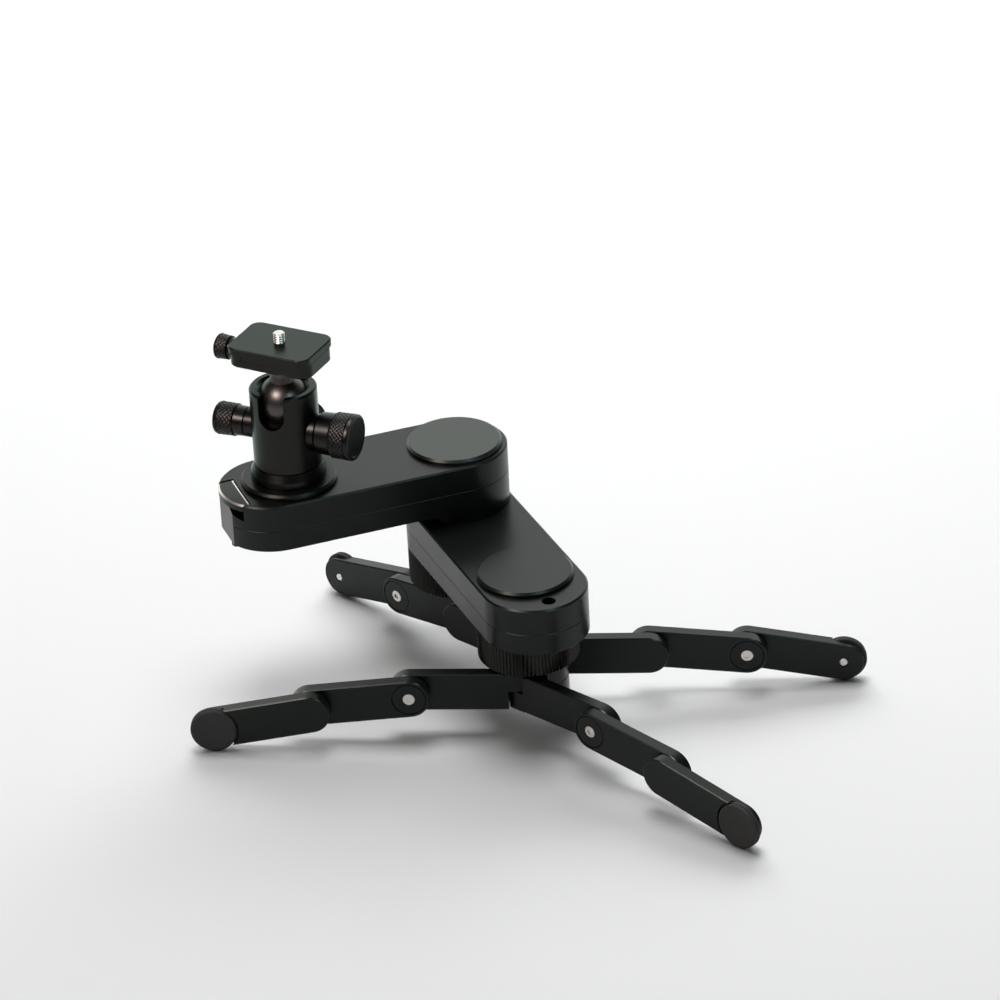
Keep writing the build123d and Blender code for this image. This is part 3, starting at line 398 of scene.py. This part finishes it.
def span_along(node, axis):
    """Middle line point, and the least and greatest distance along the axis, of a round CAD node."""
    across = Vector((-axis.y, axis.x, 0))
    points = [vertex.co for vertex in NODES[node].data.vertices]
    along = [point.dot(axis) for point in points]
    side = [point.dot(across) for point in points]
    height = [point.z for point in points]
    middle = across * (min(side) + max(side)) / 2 + Vector((0, 0, (min(height) + max(height)) / 2))
    return middle, min(along), max(along)


def make_feet():
    """Rubber pad with a grooved rim, and the pale screw that holds it."""
    pad = [(0.0, 2.0), (0.0, 12.2), (0.4, FOOT_RADIUS), (1.9, FOOT_RADIUS), (2.1, 12.25), (2.4, 12.25),
           (2.6, 12.6), (3.3, 12.6), (3.75, 12.35), (4.05, 11.9), (FOOT_THICKNESS, 11.2),
           (FOOT_THICKNESS, 10.6), (4.1, 10.4)]
    screw = [(0.0, 1.9), (0.3, 2.35), (0.55, 2.5), (1.05, 2.5), (1.05, 1.5), (5.5, 1.5)]
    for leg in LEGS:
        outward = Vector(JOINTS[leg + "_knuckle_2"]["axis"]).normalized()
        outward = outward * LEG_SIDE[leg]
        middle, near, far = span_along(leg + "_foot", outward)
        turn = outward.to_track_quat("X", "Z").to_matrix().to_4x4()
        face = Matrix.Translation(middle + outward * (far - FOOT_THICKNESS * MM)) @ turn
        piece = turning(leg + "_foot_pad", pad, 96)
        fit_out(piece, face, "rubber", "rubber", leg + "_outer", leg + "_foot")
        head = Matrix.Translation(middle + outward * near) @ turn
        fit_out(turning(leg + "_foot_screw", screw, 32), head, "bolt_steel", "bolt_steel", leg + "_outer")


# ---------------------------------------------------------------- studio
FLOOR_SIZE = 12.0
FLOOR_COLOUR = (0.87, 0.87, 0.875, 1)
WORLD_FRONT = 0.05                       # strength of the surround
WORLD_BACK = 1.45
WORLD_WARM = (1.0, 0.972, 0.94)          # from the left
WORLD_COOL = (0.94, 1.0, 0.975)          # from the right
LAMP_WARM = (1.0, 0.86, 0.8)
LAMP_COOL = (0.65, 0.93, 1.0)


def make_floor():
    """Seamless pale floor under the whole view."""
    mesh = bpy.data.meshes.new("floor")
    half = FLOOR_SIZE / 2
    corners = [(-half, -half, 0), (half, -half, 0), (half, half, 0), (-half, half, 0)]
    mesh.from_pydata(corners, [], [(0, 1, 2, 3)])
    floor = bpy.data.objects.new("floor", mesh)
    bpy.context.scene.collection.objects.link(floor)
    material, tree, shader = new_material("studio_floor")
    shader.inputs["Roughness"].default_value = 0.9
    shader.inputs["Base Color"].default_value = FLOOR_COLOUR
    mesh.materials.append(material)


def area_light(name, place, aim, size, watts, colour=(1, 1, 1), mirrored=True, lit=True):
    """Softbox, seen in shiny surfaces if mirrored, and lighting matt ones if lit."""
    data = bpy.data.lights.new(name, "AREA")
    data.shape = "RECTANGLE"
    data.size = size[0]
    data.size_y = size[1]
    data.energy = watts
    data.color = colour
    light = bpy.data.objects.new(name, data)
    bpy.context.scene.collection.objects.link(light)
    light.location = place
    light.rotation_euler = (Vector(aim) - Vector(place)).to_track_quat("-Z", "Y").to_euler()
    light.visible_glossy = mirrored
    light.visible_diffuse = lit


def make_world():
    """Soft studio surround, brighter behind the object, warmer to its left."""
    world = bpy.data.worlds.new("studio")
    world.use_nodes = True
    tree = world.node_tree
    background = tree.nodes["Background"]
    coordinates = add_node(tree, "ShaderNodeTexCoord")
    split = add_node(tree, "ShaderNodeSeparateXYZ")
    tree.links.new(coordinates.outputs["Generated"], split.inputs["Vector"])
    level = add_node(tree, "ShaderNodeMapRange", From_Min=0.3, From_Max=0.87)
    level.inputs["To Min"].default_value = WORLD_FRONT
    level.inputs["To Max"].default_value = WORLD_BACK
    level.interpolation_type = "SMOOTHSTEP"
    tree.links.new(split.outputs["Y"], level.inputs["Value"])
    tree.links.new(level.outputs["Result"], background.inputs["Strength"])
    side = add_node(tree, "ShaderNodeMapRange", From_Min=-0.6, From_Max=0.3)
    tree.links.new(split.outputs["X"], side.inputs["Value"])
    tint = mix_colours(tree, side.outputs["Result"], WORLD_WARM, WORLD_COOL)
    tree.links.new(tint, background.inputs["Color"])
    bpy.context.scene.world = world


def make_lights():
    make_world()
    area_light("back_key", (0.1, 1.7, 1.35), (0, 0, 0.05), (1.7, 1.0), 25, mirrored=False)
    area_light("overhead", (0.0, 0.3, 1.9), (0, 0, 0.05), (0.9, 0.9), 19)
    area_light("front_left", (-1.1, -1.0, 1.5), (0, 0, 0.1), (0.8, 0.6), 34, LAMP_WARM, lit=False)
    area_light("front_right", (0.9, -1.1, 1.6), (0, 0, 0.1), (0.4, 0.5), 9, LAMP_COOL, lit=False)


make_camera()
make_floor()
make_lights()
paint_nodes()
make_knobs()
make_camera_screw()
make_feet()

bpy.context.scene.view_settings.view_transform = "Standard"
